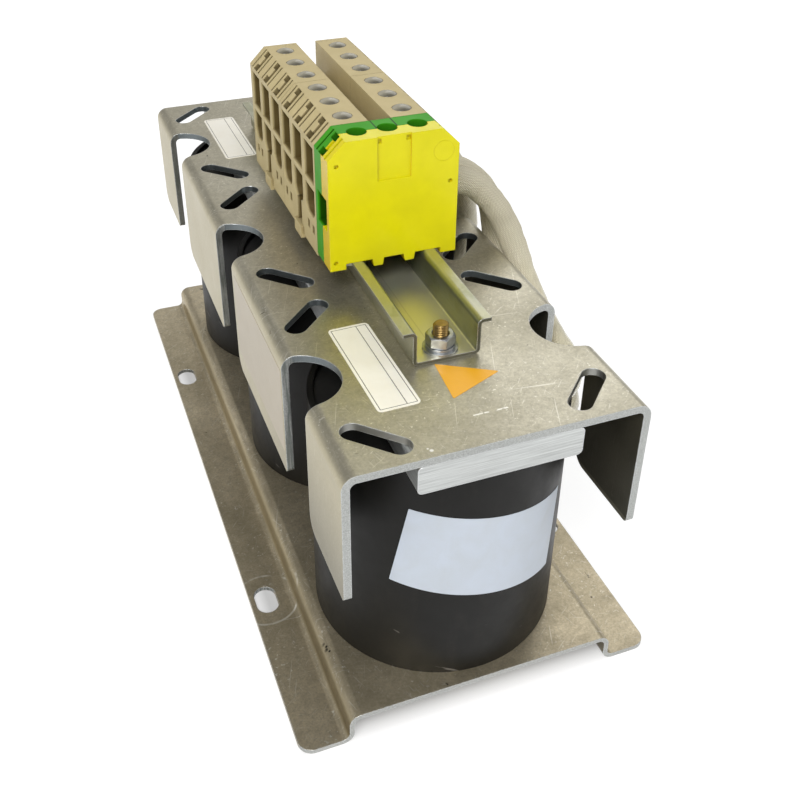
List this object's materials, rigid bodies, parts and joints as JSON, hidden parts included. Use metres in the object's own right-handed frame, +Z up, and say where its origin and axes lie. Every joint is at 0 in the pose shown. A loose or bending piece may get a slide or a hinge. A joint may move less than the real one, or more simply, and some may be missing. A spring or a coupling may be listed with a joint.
{
  "type": "line reactor",
  "caption": "Line reactor: potted coils in a row between a raised base plate and a bent, slotted cover plate, with screw terminals on a mounting rail and sleeved leads.",
  "frame": {"origin": "middle of the base plate's footprint, on the floor", "axes": "+Z up, +Y along the row of coils away from the earth terminal's end, +X towards the leads"},
  "size_m": [0.152, 0.334, 0.2022],
  "materials": {
    "base_sheet": "mill finish, scratched",
    "pot_shell": "satin",
    "core_iron": "rough",
    "former_plastic": "matt",
    "winding_copper": "enamelled copper",
    "filling_resin": "cast resin",
    "spacer_steel": "drawn",
    "bar_aluminium": "sawn ends",
    "cover_sheet": "mill finish, scratched",
    "rail_zinc": "yellow passivated zinc",
    "bolt_passivated": "yellow passivated",
    "nut_zinc": "bright zinc",
    "washer_zinc": "bright zinc",
    "spring_steel": "bright zinc",
    "beige_plastic": "moulded",
    "cage_steel": "zinc plated",
    "bus_copper": "tinned copper",
    "screw_steel": "zinc plated",
    "cap_plastic": "moulded",
    "earth_green": "moulded",
    "earth_yellow": "moulded",
    "foot_zinc": "bright zinc",
    "lead_sleeve": "braided, varnished below"
  },
  "bodies": {
    "root": {"base_plate": "base_sheet", "coil_pot_front": "pot_shell", "coil_pot_middle": "pot_shell", "coil_pot_rear": "pot_shell", "coil_core_front": "core_iron", "coil_core_middle": "core_iron", "coil_core_rear": "core_iron", "coil_former_front": "former_plastic", "coil_former_middle": "former_plastic", "coil_former_rear": "former_plastic", "coil_winding_front": "winding_copper", "coil_winding_middle": "winding_copper", "coil_winding_rear": "winding_copper", "coil_filling_front": "filling_resin", "coil_filling_middle": "filling_resin", "coil_filling_rear": "filling_resin", "bolt_spacer_front": "spacer_steel", "bolt_spacer_middle": "spacer_steel", "bolt_spacer_rear": "spacer_steel", "clamp_bar": "bar_aluminium", "cover_plate": "cover_sheet", "mounting_rail": "rail_zinc", "clamp_bolts": "bolt_passivated", "clamp_nuts": "nut_zinc", "flat_washers": "washer_zinc", "spring_washers": "spring_steel", "terminal_block_front": "beige_plastic", "terminal_block_rear": "beige_plastic", "row_end_plate": "beige_plastic", "block_latches": "beige_plastic", "terminal_cages": "cage_steel", "terminal_buses": "bus_copper", "terminal_screws": "screw_steel", "screw_caps": "cap_plastic", "earth_body": "earth_green", "earth_cover": "earth_yellow", "earth_cages": "cage_steel", "earth_bus": "bus_copper", "earth_screws": "screw_steel", "earth_rail_foot": "foot_zinc", "lead_1": "lead_sleeve", "lead_2": "lead_sleeve", "lead_3": "lead_sleeve", "lead_4": "lead_sleeve", "lead_5": "lead_sleeve", "lead_6": "lead_sleeve", "lead_ferrules": "bus_copper"}
  },
  "joints": []
}
